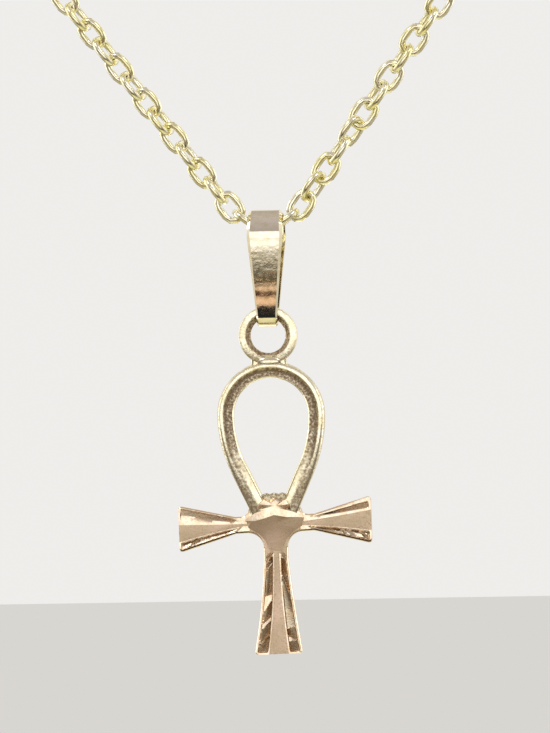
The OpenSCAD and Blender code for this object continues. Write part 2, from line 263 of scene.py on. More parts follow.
frostedGold = goldFinish("frostedGold", {
    "pale": (0.80, 0.60, 0.46), "deep": (0.66, 0.52, 0.36), "cloudScale": 0.22, "cloudHeight": 0.0,
    "speck": (0.42, 0.30, 0.19), "specks": 0.35, "grainScale": 9.0, "grainRough": 0.1, "grainHeight": 0.008,
    "rough": 0.36, "roughSpread": 0.06, "darkHeight": 0.016,
    "scratchTurn": (0.0, 0.0, 0.0), "scratchStretch": (6, 6, 6), "scratchHeight": 0.005})
brightGold = goldFinish("brightGold", {
    "pale": (0.94, 0.80, 0.64), "deep": (0.86, 0.66, 0.46), "cloudScale": 1.3, "cloudHeight": 0.006,
    "speck": (0.34, 0.22, 0.14), "specks": 0.3, "grainScale": 6.0, "grainRough": 0.06, "grainHeight": 0.004,
    "rough": 0.10, "roughSpread": 0.08, "darkHeight": 0.008,
    "scratchTurn": (0.0, 0.6, 0.0), "scratchStretch": (3, 3, 30), "scratchHeight": 0.003})
print("finishes ready")


# Camera, at the photo's angle a little to the pendant's right

cameraSizes = {  # millimetres and degrees; tall is the height of the view at the pendant
    "aim": (0.5, 0, -160.14), "tall": 57.4, "azimuth": 4.5, "roll": 1.0, "away": 900, "sensor": 36}


def placeCamera(sizes):
    turn = math.radians(sizes["azimuth"])
    aim = Vector(sizes["aim"]) * mm
    bpy.ops.object.camera_add()
    camera = bpy.context.object
    camera.name = "photoCamera"
    camera.data.sensor_width = sizes["sensor"]
    camera.data.lens = sizes["sensor"] * sizes["away"] / sizes["tall"]
    camera.data.clip_start = 0.01
    back = Vector((math.sin(turn), -math.cos(turn), 0))
    look = back.to_track_quat("Z", "Y").to_matrix().to_4x4()
    camera.matrix_world = Matrix.Translation(aim + back * sizes["away"] * mm) @ look @ Matrix.Rotation(
        -math.radians(sizes["roll"]), 4, "Z")
    bpy.context.scene.camera = camera


placeCamera(cameraSizes)
print("camera placed")


# Chain

chainSizes = {
    "length": 2.84, "width": 2.03, "cadWire": 0.5, "gap": 0.1, "wire": 0.55,
    "aroundSteps": 10, "wireSteps": 8,  # faces round a link's two ends and round its wire
    "sideAngle": 53.5, "apexAngle": 36, "apexLinks": 2.5, "loopLength": 406, "claspHalf": 4.2,
    "archRadius": 1.7, "foldGap": 0.1, "shoulder": 2.82,
    # the hanging links' turn, its unevenness with both halves' seeds, and the end links over which it fades
    "roll": -22, "looseRoll": 5, "seeds": (11, 7), "hangIn": (1, 5), "hangOut": (6, 2),
    "lean": 1.0, "leanIn": (0, 4), "leanOut": (12, 34),  # the chain's lean, and the links where it changes
    # turns of the right half's lower links, which lie unevenly, and the even twist of those above them
    "lowerTurns": (0, -90, -14, -122, -190, -250, -310, -362, -422, -530, -610, -712, -790, -885),
    "twist": 95, "twistedLinks": 34,
}


def buildLink(sizes):
    endRadius = (sizes["width"] - sizes["wire"]) / 2
    half = (sizes["length"] - sizes["width"]) / 2
    bpy.ops.mesh.primitive_torus_add(
        major_segments=sizes["aroundSteps"], minor_segments=sizes["wireSteps"], major_radius=endRadius,
        minor_radius=sizes["wire"] / 2, rotation=(0, 0, math.pi / sizes["aroundSteps"]))
    link = startPiece("link")
    pick(link, lambda vert: vert.co.x < -0.01)
    bpy.ops.mesh.delete(type="VERT")
    bpy.ops.mesh.select_all(action="SELECT")
    bpy.ops.transform.translate(value=(half, 0, 0))
    pickRim(link)
    extrudeBy(-half, 0, 0)
    bpy.ops.object.mode_set(mode="OBJECT")
    modify(link, "MIRROR", merge_threshold=0.001)
    closeShell(link)
    return link


def chainRoute(sizes):  # the two ends of each link of the right half, as the frame's chain runs
    wire, gap = sizes["cadWire"], sizes["gap"]
    pitch = sizes["length"] - 2 * wire - gap
    straightPart = sizes["length"] - sizes["width"]
    endRadius = (sizes["width"] - wire) / 2
    jointRadius = endRadius - (wire + gap) / 2
    hookedRadius = endRadius - wire - gap
    apex, side = math.radians(sizes["apexAngle"]), math.radians(sizes["sideAngle"])
    apexWay, sideWay = Vector((math.cos(apex), math.sin(apex))), Vector((math.cos(side), math.sin(side)))
    edgeHeight = math.sqrt((sizes["archRadius"] - sizes["foldGap"] - wire / 2) ** 2 - endRadius ** 2)
    reach = sizes["shoulder"] / 2 - straightPart / 2 - hookedRadius * math.cos(apex)
    lift = edgeHeight - hookedRadius * math.sin(apex) - reach * math.tan(apex)
    count = round((sizes["loopLength"] / 2 - sizes["claspHalf"]) / pitch - sizes["apexLinks"])
    firstJoint = Vector((straightPart / 2, lift)) + jointRadius * apexWay
    secondJoint = firstJoint + pitch * apexWay
    turned = secondJoint + jointRadius * apexWay + straightPart / 2 * sideWay
    start = turned + pitch / 2 * sideWay
    turn, length = math.pi - side, count * pitch
    arcRadius = (start.x + length * sideWay.x - sizes["claspHalf"]) / (turn * sideWay.x + sideWay.y)
    straight = length - arcRadius * turn
    centre = start + straight * sideWay + arcRadius * Vector((-sideWay.y, sideWay.x))
    route = [(Vector((-pitch / 2, lift)), Vector((pitch / 2, lift))), (firstJoint, secondJoint),
             (turned - pitch / 2 * sideWay, start)]
    points = []
    for k in range(count + 1):
        t = k * pitch
        heading = side + (t - straight) / arcRadius
        onArc = centre + arcRadius * Vector((math.sin(heading), -math.cos(heading)))
        points.append(start + t * sideWay if t <= straight else onArc)
    return route + list(zip(points, points[1:]))


def layChain(name, link, route, sizes, mirrored):
    random.seed(sizes["seeds"][1 if mirrored else 0])
    lower = sizes["lowerTurns"]
    hangOut = [len(route) - count for count in sizes["hangOut"]]
    copies = []
    for index, (low, high) in enumerate(route):
        if mirrored and index == 0:
            continue  # the link across the arch belongs to the right half
        middle, along = (low + high) / 2, high - low
        if mirrored:
            middle, along = Vector((-middle.x, middle.y)), Vector((-along.x, along.y))
        hanging = smoothStep(*sizes["hangIn"], index) * (1 - smoothStep(*hangOut, index))
        loose = random.uniform(-1, 1) * sizes["looseRoll"]
        roll = index % 2 * 90 + hanging * (sizes["roll"] + loose)
        if not mirrored and index < sizes["twistedLinks"]:
            known = min(index, len(lower) - 1)
            roll = lower[known] - (index - known) * sizes["twist"]
        lean = sizes["lean"] * smoothStep(*sizes["leanIn"], index)
        lean *= 1 - smoothStep(*sizes["leanOut"], index)
        place = Matrix.Rotation(math.radians(lean), 4, "Z") @ Matrix.Translation((middle.x, middle.y, 0))
        place = place @ Matrix.Rotation(math.atan2(along.y, along.x), 4, "Z")
        copies.append(copyOf(link, faceToWorld @ place @ Matrix.Rotation(math.radians(roll), 4, "X")))
    chain = joinPieces(name, copies, angle=60)
    chain.data.materials.append(chainGold)
    return chain


link = buildLink(chainSizes)
route = chainRoute(chainSizes)
chainRight = layChain("chainRight", link, route, chainSizes, False)
finishPiece(chainRight, "necklace", "chain_right")
chainLeft = layChain("chainLeft", link, route, chainSizes, True)
finishPiece(chainLeft, "necklace", "chain_left")
bpy.data.objects.remove(link)
print("chain laid,", len(route) * 2 - 1, "links")


# Bail

bailSizes = {
    "archRadius": 1.7, "bendRadius": 0.868, "drop": 6.0, "thick": 0.3, "bulge": 0.15,
    "archSteps": 26, "bendSteps": 18,
    "widths": [(2.1, 2.6), (-0.1, 2.82), (-6.0, 1.64), (-7.2, 1.57)],  # height and width of the strip
    # patina of the front wall, and the shares of its height over which that comes and goes
    "wear": 0.3, "wornFrom": (0.4, 0.55), "wornTo": (0.92, 0.82),
    # chamfer of the strip's edges, its share outside, low and high, and inside, and the heights between
    "edge": 0.24, "outerEdge": (0.5, 1), "innerEdge": 0.2, "edgeHeights": (-4.5, -1.5), "sharpAngle": 50,
}


def buildBail(sizes):
    lean = math.asin((sizes["archRadius"] - sizes["bendRadius"]) / sizes["drop"])
    top = Vector((0, -math.sin(lean), math.cos(lean))) * sizes["archRadius"]
    low = Vector((0, -math.sin(lean), math.cos(lean))) * sizes["bendRadius"] - Vector((0, sizes["drop"], 0))
    bpy.ops.mesh.primitive_grid_add(x_subdivisions=8, y_subdivisions=16, size=1)
    bail = startPiece("bail")
    mesh = bmesh.from_edit_mesh(bail.data)
    patina = mesh.verts.layers.float.new("patina")
    for vert in mesh.verts:  # the front wall, from the lower touch up, a little bowed
        share = vert.co.y + 0.5
        bow = sizes["bulge"] * 4 * share * (1 - share)
        darkening = smoothStep(*sizes["wornFrom"], share) * smoothStep(*sizes["wornTo"], share)
        vert[patina] = sizes["wear"] * darkening
        vert.co = Vector((vert.co.x, 0, 0)) + low.lerp(top, share) + Vector((0, 0, bow))
    bmesh.update_edit_mesh(bail.data)
    pickRim(bail, lambda vert: vert.co.y > top.y - 0.01)
    bpy.ops.mesh.spin(steps=sizes["archSteps"], angle=math.pi + 2 * lean, center=(0, 0, 0), axis=(1, 0, 0))
    extrudeBy(0, low.y - top.y, top.z - low.z)
    bpy.ops.mesh.spin(steps=sizes["bendSteps"], angle=math.pi - 2 * lean, center=(0, -sizes["drop"], 0),
                      axis=(1, 0, 0))
    bpy.ops.mesh.select_all(action="SELECT")
    bpy.ops.mesh.remove_doubles(threshold=0.001)
    bpy.ops.mesh.normals_make_consistent(inside=False)
    mesh = bmesh.from_edit_mesh(bail.data)
    for vert in mesh.verts:
        vert.co.x *= readRows(sizes["widths"], vert.co.y)
    bmesh.update_edit_mesh(bail.data)
    bpy.ops.object.mode_set(mode="OBJECT")
    modify(bail, "SOLIDIFY", thickness=sizes["thick"], offset=1, use_even_offset=True)
    bpy.ops.object.mode_set(mode="EDIT")
    mesh = bmesh.from_edit_mesh(bail.data)
    weights = mesh.edges.layers.float.new("bevel_weight_edge")
    for edge in mesh.edges:  # the strip's outer edges are chamfered, less so further down
        if edge.calc_face_angle() > math.radians(sizes["sharpAngle"]):
            spot = (edge.verts[0].co + edge.verts[1].co) / 2
            flat = min(edge.link_faces, key=lambda face: abs(face.normal.x))
            away = Vector((0, spot.y - min(max(spot.y, -sizes["drop"]), 0), spot.z))
            outer = blend(*sizes["outerEdge"], smoothStep(*sizes["edgeHeights"], spot.y))
            edge[weights] = outer if flat.normal.dot(away) > 0 else sizes["innerEdge"]
    bmesh.update_edit_mesh(bail.data)
    bpy.ops.object.mode_set(mode="OBJECT")
    modify(bail, "BEVEL", limit_method="WEIGHT", width=sizes["edge"], segments=1)
    bail = joinPieces("foldedBail", [bail], angle=40)
    bail.data.materials.append(bailGold)
    standUp(bail)
    return bail


finishPiece(buildBail(bailSizes), "bail", "bail")
print("bail folded")

for name in ("bolt_ring_clasp", "end_ring"):
    frame["nodes"][name].data.materials.clear()
    frame["nodes"][name].data.materials.append(chainGold)
print("clasp and end ring finished")


# Ankh, drawn round the centre of its ring

ankhSizes = {
    "ringDrop": 7.84, "tilt": 1.2, "back": 0.5,
    "ringMid": 1.84, "ringHalf": 0.47, "ringFront": 0.5, "ringSteps": 80,
    "neckWaist": -2.02, "neckHeight": 1.0, "neckWide": 2.75, "neckDeep": 0.84,
    "neckFlare": 1.22, "neckEnds": 0.35,  # widening beyond this height from the waist
    "lens": (1.0, 0.46, 0.27), "lensAt": (0.03, -2.08, 0.35),
    "loopDrop": 6.24, "loopMid": 3.57, "bandHalf": 0.66, "bandFront": 0.6,
    "flankRadius": 9.8, "legTurn": 24.7, "legLength": 4.5, "legHalf": 0.71, "legFront": 0.63, "legBack": 0.46,
    "hubDrop": 14.76, "topSteps": 44, "flankSteps": 18, "legSteps": 18,
    "legsFrom": (0.5, 6.5), "stoutFrom": (3.0, 5.0),  # where the loop's top passes into its legs
    # patina in the top's hollow and on its rim, and on the legs; on the ring's inner slope and low on it the
    # same darkening is painted shade
    "ringSlope": (-0.1, -0.35), "ringLow": (0.3, 2.0), "ringLowShade": 0.5,
    "hollowOut": (0.36, 0.16), "hollowIn": (-0.92, -0.72), "rimFrom": (0.6, 0.8), "rimWear": 0.4,
    "legIn": (-0.25, 0.1), "legOut": (1, 0.9), "legWear": 0.75,
    # a section's spread towards its sides, how soon its front and back are level, and the share of patina and
    # painted shade kept on the back
    "spread": 0.85, "frontEase": 0.25, "backEase": 0.55, "backShare": 0.3,
    # sections: place across the wire, 1 at its outer side, and share of its height
    "ringRows": ((1, 0.35), (0.95, 0.78), (0.86, 0.92), (0.6, 0.965), (0.3, 0.985), (0, 1), (-0.12, 1),
                 (-0.28, 0.9), (-0.6, 0.62), (-0.85, 0.4), (-1, 0.2)),
    "topRows": ((1, 0.35), (0.9, 0.62), (0.74, 0.9), (0.64, 0.975), (0.45, 1), (0.3, 0.985), (0.2, 0.86),
                (-0.05, 0.7), (-0.35, 0.63), (-0.65, 0.67), (-0.82, 0.71), (-0.93, 0.58), (-1, 0.35)),
    "legRows": ((1, 0.4), (0.95, 0.72), (0.86, 0.8), (0.5, 0.88), (0.1, 0.95), (-0.1, 0.99), (-0.5, 1),
                (-0.8, 0.94), (-0.93, 0.7), (-1, 0.4)),
}
ankhFinishes = [castGold, frostedGold, brightGold]  # cast wire, frosted panels, bright cuts and rims


def dress(piece, chosen=None):  # gives a part of the ankh its finishes, all faces with the chosen one
    for finish in ankhFinishes:
        piece.data.materials.append(finish)
    if chosen is not None:
        for face in piece.data.polygons:
            face.material_index = chosen


def crownWire(piece, sizes, station):  # shapes a round wire; station gives a point's place and its section
    mesh = bmesh.from_edit_mesh(piece.data)
    patina = mesh.verts.layers.float.new("patina")
    for vert in mesh.verts:
        out, across, half, wide, front, back, shape = station(vert.co)
        turn, up = across / half, vert.co.z / half
        spread = math.copysign(min(abs(turn), 1) ** sizes["spread"], turn)
        vert.co += Vector((out.x, out.y, 0)) * (spread * wide - across)
        high, vert[patina] = shape(spread)
        if up > 0:
            vert.co.z = high * front * min(up / sizes["frontEase"], 1)
        else:
            vert.co.z = -back * min(-up / sizes["backEase"], 1)
            vert[patina] *= sizes["backShare"]
    bmesh.update_edit_mesh(piece.data)


def addSection(name, middle, half):  # a round section that crosses the x axis at middle
    bpy.ops.mesh.primitive_circle_add(vertices=48, radius=half, location=(middle, 0, 0),
                                      rotation=(math.radians(90), 0, 0))
    return startPiece(name)


def buildRing(sizes):
    half = sizes["ringHalf"]
    ring = addSection("ring", sizes["ringMid"], half)
    bpy.ops.mesh.select_all(action="SELECT")
    bpy.ops.mesh.spin(steps=sizes["ringSteps"], angle=2 * math.pi, center=(0, 0, 0), axis=(0, 0, 1))

    def station(spot):
        out = spot.xy.normalized()
        # the ring is darkened towards the patina colour on its inner slope and towards its bottom: painted
        # shade
        low = smoothStep(*sizes["ringLow"], -spot.y) * sizes["ringLowShade"]

        def shape(spread):  # height, and painted shade as a share of the patina colour
            return readRows(sizes["ringRows"], spread), max(smoothStep(*sizes["ringSlope"], spread), low)

        across = spot.xy.length - sizes["ringMid"]
        return out, across, half, half, sizes["ringFront"], sizes["ringFront"], shape

    crownWire(ring, sizes, station)
    closeShell(ring)
    dress(ring, 0)
    return ring


def buildNeck(sizes):
    waist = sizes["neckWaist"]
    bpy.ops.mesh.primitive_cube_add(size=1, location=(0, waist, 0),
                                    scale=(sizes["neckWide"], sizes["neckHeight"], sizes["neckDeep"]))
    neck = startPiece("neck")
    bpy.ops.mesh.subdivide(number_cuts=3)
    pick(neck, lambda vert: abs(vert.co.y - waist) > sizes["neckEnds"])
    bpy.ops.transform.resize(value=(sizes["neckFlare"], 1, 1), center_override=(0, waist, 0))
    bpy.ops.object.mode_set(mode="OBJECT")
    modify(neck, "SUBSURF", levels=2, render_levels=2)
    bpy.ops.mesh.primitive_uv_sphere_add(segments=40, ring_count=20, location=sizes["lensAt"],
                                         scale=sizes["lens"])
    lens = startPiece("lens")  # the low lens of solder between ring and loop
    bpy.ops.object.mode_set(mode="OBJECT")
    activate(neck, lens)
    bpy.ops.object.join()
    dress(neck, 0)
    return neck


def buildLoop(sizes):
    half, middle = sizes["bandHalf"], sizes["loopMid"]
    flank, radius, turn = middle - sizes["flankRadius"], sizes["flankRadius"], math.radians(sizes["legTurn"])
    loop = addSection("loop", middle, half)
    bpy.ops.mesh.select_all(action="SELECT")
    bpy.ops.mesh.spin(steps=sizes["topSteps"], angle=-math.pi / 2, center=(0, 0, 0), axis=(0, 0, 1))
    pickRim(loop, lambda vert: abs(vert.co.y) < 0.001)
    bpy.ops.mesh.spin(steps=sizes["flankSteps"], angle=turn, center=(flank, 0, 0), axis=(0, 0, 1))
    pickRim(loop, lambda vert: vert.co.y < -0.5)
    for step in range(sizes["legSteps"]):
        extrudeBy(*Vector((-math.sin(turn), -math.cos(turn), 0)) * sizes["legLength"] / sizes["legSteps"])
    bpy.ops.mesh.edge_face_add()
    legOut = Vector((math.cos(turn), -math.sin(turn)))

    def station(spot):
        if spot.y >= 0:
            out, across = spot.xy.normalized(), spot.xy.length - middle
        else:
            reach = spot.xy - Vector((flank, 0))
            onFlank = math.atan2(-reach.y, reach.x) < turn
            out = reach.normalized() if onFlank else legOut
            across = (reach.length if onFlank else reach.dot(legOut)) - radius
        low = smoothStep(*sizes["legsFrom"], -spot.y)
        stout = smoothStep(*sizes["stoutFrom"], -spot.y)

        def shape(spread):  # height and patina
            high = blend(readRows(sizes["topRows"], spread), readRows(sizes["legRows"], spread), low)
            hollow = smoothStep(*sizes["hollowOut"], spread) * smoothStep(*sizes["hollowIn"], spread)
            hollow += sizes["rimWear"] * smoothStep(*sizes["rimFrom"], spread)
            speckled = smoothStep(*sizes["legIn"], spread) * smoothStep(*sizes["legOut"], spread)
            return high, blend(hollow, sizes["legWear"] * speckled, low)

        wide = blend(half, sizes["legHalf"], stout)
        front = blend(sizes["bandFront"], sizes["legFront"], stout)
        back = blend(sizes["back"], sizes["legBack"], stout)
        return out, across, half, wide, front, back, shape

    crownWire(loop, sizes, station)
    bpy.ops.object.mode_set(mode="OBJECT")
    modify(loop, "MIRROR", merge_threshold=0.001)
    closeShell(loop)
    loop.location = (0, -sizes["loopDrop"], 0)
    activate(loop)
    bpy.ops.object.transform_apply(location=True)
    dress(loop, 0)
    return loop


# Limbs round the hub: a grid whose rows follow rim, cut strip and panel, and then its sides and back

limbSizes = {
    "front": 0.42, "back": 0.5, "rim": 0.15, "corner": 0.3, "backEase": 0.06, "panelCrown": 0.012,
    "armCuts": (0.2, 0.06), "stemCuts": (0.3, 0.3),  # depths of the strips on both sides of the panels
    "armReach": 7.55, "armWaist": 0.66, "armWaistAt": 3.1, "armStart": 2.3, "armFull": 3.8, "armLean": 0.034,
    "armFlare": 1.3, "armStep": 0.08, "stemStep": 0.045,
    "armEnds": {1: (1.98, 1.77), -1: (1.83, 1.85)},
    # rows of a right and a left arm where they start and end: foot and panel below, panel and foot above
    "armRows": {1: ((-0.32, -0.2, 0.15, 0.42), (-1.12, -0.94, 0.66, 0.9)),
                -1: ((-0.22, -0.1, 0.09, 0.24), (-1.17, -1.0, 0.36, 1.12))},
    "armRims": {1: (0.18, 0.42), -1: (0.16, 0.17)},
    "crotch": 1.2, "armpit": 0.55, "armpitAt": (2.59, 1.23), "webEdge": 1.3, "webTop": 2.38,
    "webRough": 0.05, "webWaves": (9, 11), "webWide": 2.2, "webFrom": (0.9, 1.3), "webWear": 0.6,
    "stemReach": 10.2, "stemWaist": 0.93, "stemWaistAt": 2.8, "stemEnds": (1.8, 1.94),
    "stemBows": (0.13, 0.05), "stemLean": -0.019, "stemStart": 1.9, "stemFull": 2.6, "stemSlope": 0.16,
    "frostedTo": 2.9, "frostedWithin": 0.012,  # how far down the stem, and how near its front, all is frosted
    "stemPanels": ((0.16, 0.7), (0.27, 0.88)), "stemFlares": (2.4, 1.9),
    "shelf": 0.07, "shelfSlopes": (0.085, 0.25), "wear": (0.5, 0.15), "endFade": (0.24, 0.12),
    # how far the rim's rows lie below the front on the upper and lower edges, how near the second of them is
    # to the first, and the share of a strip's depth at its rim
    "upperEase": (0.1, 0.03, 0, 0), "lowerEase": (0.1, 0.035, 0.014, 0), "edgeRow": 0.05, "shallow": 0.15,
    # faces: cast at the back and on the web, frosted on the hub
    "backLevel": -0.3, "hubLevel": 0.2, "hubHalf": 2.0, "hubFoot": -1.9, "webFoot": 0.6,
    # facets of the strips: where each starts along the limb at the panel's edge, how that moves on towards
    # the rim, the depth it adds at its start and end, and whether it lies level instead
    "leftFacets": ((1.2, 1.0, 0, 0.1, 0), (1.7, 1.3, 0.15, 0.1, 1), (2.42, 1.1, 0.02, 0.12, 0),
                   (2.8, 1.2, 0.13, 0.1, 1), (3.0, 1.2, 0, 0.14, 0), (5.45, 0.3, 0.15, 0.08, 1),
                   (5.8, 1.6, 0, 0.17, 0), (7.1, 0.95, 0.16, 0.1, 1), (7.48, 1.05, 0.02, 0.14, 0),
                   (8.5, 1, 0.16, 0.13, 1), (8.65, 1, 0.05, 0.2, 0), (10.2, 0, 0, 0, 0)),
    "rightFacets": ((1.5, 0.3, 0, 0.1, 0), (2.1, 0.4, 0.15, 0.1, 1), (2.6, 0.6, 0, 0.12, 0),
                    (3.5, 3.1, 0.04, 0.01, 1), (3.62, 3.1, 0.03, 0.19, 0.96), (6.4, 0.9, 0.19, 0.28, 0.96),
                    (8.3, -0.3, 0, 0.17, 0), (8.75, 0.5, 0.16, 0.11, 0.8), (9.3, -0.2, 0, 0.15, 0),
                    (10.2, 0, 0, 0, 0)),
    "armFacets": {1: ((4.3, 1, 0, 0.1, 0), (5.0, 1, 0.12, 0.09, 1), (5.3, 1, 0, 0, 0), (5.7, 1, 0, 0.14, 0),
                      (6.4, 1, 0.15, 0.1, 1), (6.8, 1, 0, 0.1, 0), (7.5, 0, 0, 0, 0)),
                  -1: ((3.6, 1, 0, 0.05, 0), (5.4, 2, 0.1, 0.07, 1), (5.8, 2, 0, 0.1, 0), (7.5, 1, 0, 0, 0))},
}
rimRows, sideRows, panelRows = 4, 14, 3  # rows on a limb's rim, from its edge to its panel, and on the panel
middleRow = sideRows + panelRows // 2
rowCount = 2 * sideRows + panelRows
cornerSteps, filletSteps = 10, 15  # round a limb's corner, and round the fillet between arm and stem


def cutDepth(cuts, along, away):  # added depth, and how far the strip lies level there instead
    places = [place + slant * away for place, slant, first, last, level in cuts]
    for low, high, (place, slant, first, last, level) in zip(places, places[1:], cuts):
        if low <= along < high:
            return blend(first, last, (along - low) / (high - low)), level
    return 0, 0


# A row's place across the limb, its share of the strip's depth, the shelf's own depth and the edge's ease;
# lines are the rows' main places: edge, rim, foot and panel on one side, then panel, foot, rim and edge
def rowPlace(number, lines, slope=0, lower=None):
    if sideRows <= number < rowCount - sideRows:
        return blend(lines[3], lines[4], (number - sideRows + 1) / (panelRows + 1)), 0, 0, 0
    row = min(number, rowCount - 1 - number)
    edge, rim, foot, panel = lines[:4] if number < sideRows else lines[:3:-1]
    if row < rimRows:
        near = min(0.3, limbSizes["edgeRow"] / max(abs(edge - rim), 0.01))
        return blend(edge, rim, (0, near, 0.65, 1)[row]), 0, 0, (lower or limbSizes["upperEase"])[row]
    if row < sideRows - 2:
        share = (row - rimRows + 1) / (sideRows - rimRows - 2)
        return blend(rim, foot, share), blend(limbSizes["shallow"], 1, share), 0, 0
    if row < sideRows - 1:  # the shelf beside the panel
        step = min(limbSizes["shelf"], abs(panel - foot) * 0.5)
        shelf = foot + math.copysign(step, panel - foot)
        return shelf, 0, slope * abs(panel - shelf), 0
    return panel, 0, 0, 0


def limbSpot(number, along, lines, sizes, cuts, start, reach):  # place across, height and wear
    below, onArm = number < middleRow, reach == sizes["armReach"]
    lower = sizes["lowerEase"] if onArm and below else None
    across, share, depth, ease = rowPlace(number, lines, sizes["shelfSlopes"][0 if onArm else 1], lower)
    away = abs(across - lines[3 if below else 4])
    ends = [reach - left for left in sizes["endFade"]]
    fade = smoothStep(*start, along - away) * (1 - smoothStep(*ends, along))
    level = 1
    if share > 0:
        added, level = cutDepth(cuts[0 if below else 1], along, away)
        deep = share * sizes["armCuts" if onArm else "stemCuts"][0 if below else 1]
        depth = blend(deep + added * min(share * 3, 1), added, level)
    crown = sizes["panelCrown"] if number == middleRow else 0
    wear = sizes["wear"][1 if onArm and not below else 0] * (1 - level) * min(share * 2, 1) * fade
    return across, sizes["front"] - ease + (crown - depth) * fade, wear


def cornerEase(along, reach, corner):  # how far a rounded corner takes the edge in
    near = max(along - (reach - corner), 0)
    return corner - math.sqrt(max(corner ** 2 - near ** 2, 0))


def armLines(far, side, sizes):  # an arm's rows from below at a distance from the hub, hub included
    reach, start = sizes["armReach"], sizes["armStart"]
    out = max(far - sizes["armWaistAt"], 0) / (reach - sizes["armWaistAt"])
    low, high = [blend(sizes["armWaist"], end, out) - cornerEase(far, reach, sizes["corner"])
                 for end in sizes["armEnds"][side]]
    low = -low
    pitX, pitY = sizes["armpitAt"]
    if far < pitX - sizes["armpit"]:
        share = (far - sizes["webEdge"]) / (pitX - sizes["armpit"] - sizes["webEdge"])
        high = blend(sizes["webTop"], pitY, min(max(share, 0), 1))
        high += sizes["webRough"] * math.sin(far * sizes["webWaves"][1] + 1)
    elif far < pitX:
        high = pitY - math.sqrt(max(sizes["armpit"] ** 2 - (far - pitX) ** 2, 0))
    crotchX = sizes["stemWaist"] + sizes["crotch"]
    if far < sizes["stemWaist"] + 0.0001:
        low = -sizes["armWaist"] - sizes["crotch"]
    elif far < crotchX:
        low = -sizes["armWaist"] - sizes["crotch"] + math.sqrt(
            max(sizes["crotch"] ** 2 - (crotchX - far) ** 2, 0))
    share = (max(far - start, 0) / (reach - start)) ** sizes["armFlare"]
    rims = [blend(sizes["rim"], end, share) for end in sizes["armRims"][side]]
    rows = [blend(near, end, share) for near, end in zip(*sizes["armRows"][side])]
    rise = max(far - start, 0) * sizes["armLean"] * side
    return [y + rise for y in (low, low + rims[0], *rows, high - rims[1], high)]


def stemLines(along, sizes):  # the stem's rows from the left
    reach, waist = sizes["stemReach"], sizes["stemWaist"]
    out = max(along - sizes["stemWaistAt"], 0) / (reach - sizes["stemWaistAt"])
    down = max(along - sizes["stemStart"], 0) / (reach - sizes["stemStart"])
    halves = []
    for end, bow, flare, (panelNear, panelFar) in zip(
            sizes["stemEnds"], sizes["stemBows"], sizes["stemFlares"], sizes["stemPanels"]):
        edge = blend(waist, end, out) - bow * math.sin(math.pi * out)
        edge -= cornerEase(along, reach, sizes["corner"])
        panel = blend(panelNear, panelFar, down ** flare)
        rim = edge - sizes["rim"]
        halves.append((edge, rim, min(panel + sizes["stemSlope"], blend(panel, rim, 0.4)), panel))
    shift = sizes["stemLean"] * down * (reach - sizes["stemStart"])
    return [x + shift for x in [-x for x in halves[0]] + list(reversed(halves[1]))]


def endSteps(start, reach, corner, step):  # even steps and then closer ones round the corner
    steps = [start + k * step for k in range(1, int((reach - corner - start) / step))]
    steps += [reach - corner - step / 2]
    turns = [math.radians(90 * k / cornerSteps) for k in range(cornerSteps + 1)]
    return steps + [reach - corner + corner * math.sin(turn) for turn in turns]


def addFront(name, across, along):  # a limb's front as an even grid, still to be shaped
    bpy.ops.mesh.primitive_grid_add(x_subdivisions=across - 1, y_subdivisions=along - 1, size=2)
    piece = startPiece(name)
    return piece, bmesh.from_edit_mesh(piece.data)


def faceRows(mesh, axis):  # frosts the panel and brightens the rest, while the rows still lie evenly
    for face in mesh.faces:
        row = int((face.calc_center_median()[axis] + 1) / 2 * (rowCount - 1))
        face.material_index = 1 if sideRows <= row + 1 <= rowCount - sideRows else 2


def buildCrossbar(sizes):
    waist, crotch = sizes["stemWaist"], sizes["crotch"]
    stemTop = stemLines(sizes["armWaist"] + crotch, sizes)
    under = [rowPlace(number, stemTop)[0] for number in range(rowCount)]
    turns = [math.radians(90 * k / filletSteps) for k in range(1, filletSteps + 1)]
    fillet = [waist + crotch * (1 - math.cos(turn)) for turn in turns]
    arm = fillet + endSteps(waist + crotch, sizes["armReach"], sizes["corner"], sizes["armStep"])
    columns = [-x for x in reversed(arm)] + under + arm
    bar, mesh = addFront("limbs", len(columns), rowCount)
    dress(bar)
    faceRows(mesh, 1)
    patina = mesh.verts.layers.float.new("patina")
    for vert in mesh.verts:
        x = columns[round((vert.co.x + 1) / 2 * (len(columns) - 1))]
        number = round((vert.co.y + 1) / 2 * (rowCount - 1))  # 0 at the lower edge
        side, far = (1 if x > 0 else -1), abs(x)
        y, z, vert[patina] = limbSpot(number, far, armLines(far, side, sizes), sizes,
                                      (sizes["armFacets"][side], ()), (sizes["armStart"], sizes["armFull"]),
                                      sizes["armReach"])
        if far < sizes["webWide"] and y > sizes["webFrom"][0]:  # the rough web between the loop's legs
            vert[patina] = sizes["webWear"]
            waves = math.sin(x * sizes["webWaves"][0]) * math.sin(y * sizes["webWaves"][1])
            z += sizes["webRough"] * waves * smoothStep(*sizes["webFrom"], y)
        if far <= waist and number < rimRows:  # level with the stem that joins here
            z = sizes["front"]
            if number == 0:
                z -= rowPlace(under.index(x), stemTop)[3]
        vert.co = Vector((x, y, z))
    bmesh.update_edit_mesh(bar.data)
    return bar


